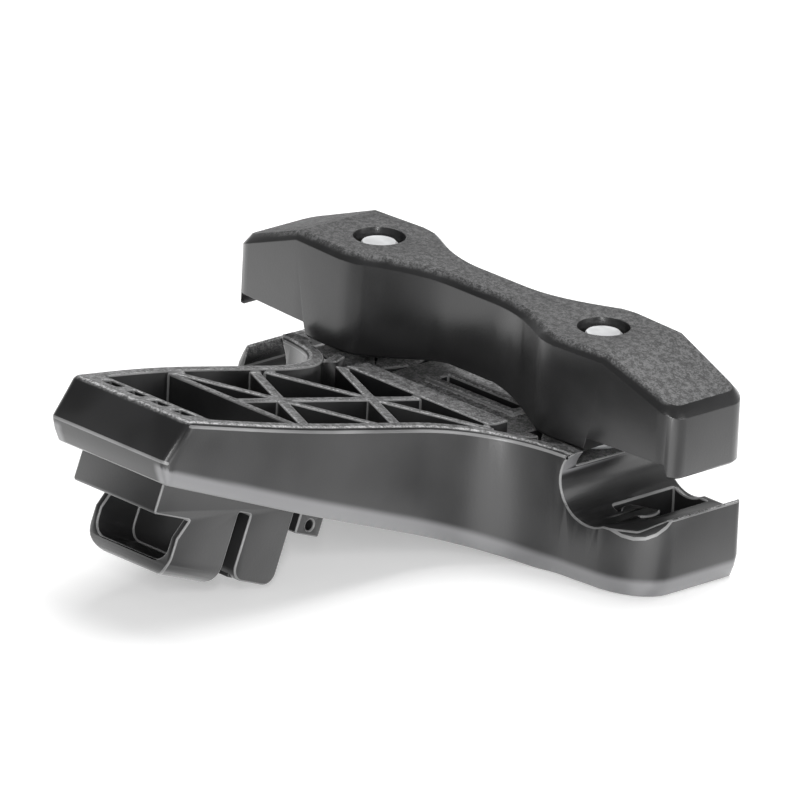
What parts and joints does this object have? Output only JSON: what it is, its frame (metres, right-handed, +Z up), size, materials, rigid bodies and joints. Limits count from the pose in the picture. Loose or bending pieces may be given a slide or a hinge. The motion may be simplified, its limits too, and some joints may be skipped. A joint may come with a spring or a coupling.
{
  "type": "saddle bag mount",
  "caption": "Ribbed plastic mount that clamps on the two rails under a bicycle saddle with a bolted bar and carries a bag on the connector under its rear end.",
  "frame": {"origin": "midway between the axes of the two saddle rails, at the middle of the clamp bar's width", "axes": "+X across the saddle towards the right rail, +Y along the rails towards the saddle's nose, +Z up, square to the rails"},
  "size_m": [0.0586, 0.053, 0.0215],
  "materials": {
    "base_plastic": "moulded glass-filled nylon, charcoal black, satin walls",
    "bar_plastic": "moulded glass-filled nylon, charcoal black, finely speckled top",
    "screw_steel": "bright turned steel",
    "washer_steel": "zinc-bright stamped steel",
    "insert_brass": "knurled brass",
    "magnet_nickel": "nickel-plated",
    "cover_plastic": "moulded, smooth satin"
  },
  "bodies": {
    "base": {"base": "base_plastic", "screw_washer_left": "washer_steel", "screw_washer_right": "washer_steel", "connector_magnet": "magnet_nickel", "magnet_cover": "cover_plastic"},
    "clamp_bar": {"clamp_bar": "bar_plastic", "threaded_insert_left": "insert_brass", "threaded_insert_right": "insert_brass"},
    "screw_left": {"clamp_screw_left": "screw_steel"},
    "screw_right": {"clamp_screw_right": "screw_steel"}
  },
  "joints": [
    {"name": "bar_lift", "type": "slide", "parent": "base", "child": "clamp_bar", "axis": [0, 0, 1], "range_m": [-0.001, 0.004]},
    {"name": "screw_left_turn", "type": "hinge", "parent": "base", "child": "screw_left", "pos_m": [-0.015, 0, 0], "axis": [0, 0, -1], "range_deg": [-515, 2058]},
    {"name": "screw_right_turn", "type": "hinge", "parent": "base", "child": "screw_right", "pos_m": [0.015, 0, 0], "axis": [0, 0, -1], "range_deg": [-515, 2058]}
  ],
  "couplings": [
    {"joint": "screw_left_turn", "follows": "bar_lift", "rad_per_m": 8976},
    {"joint": "screw_right_turn", "follows": "bar_lift", "rad_per_m": 8976}
  ]
}
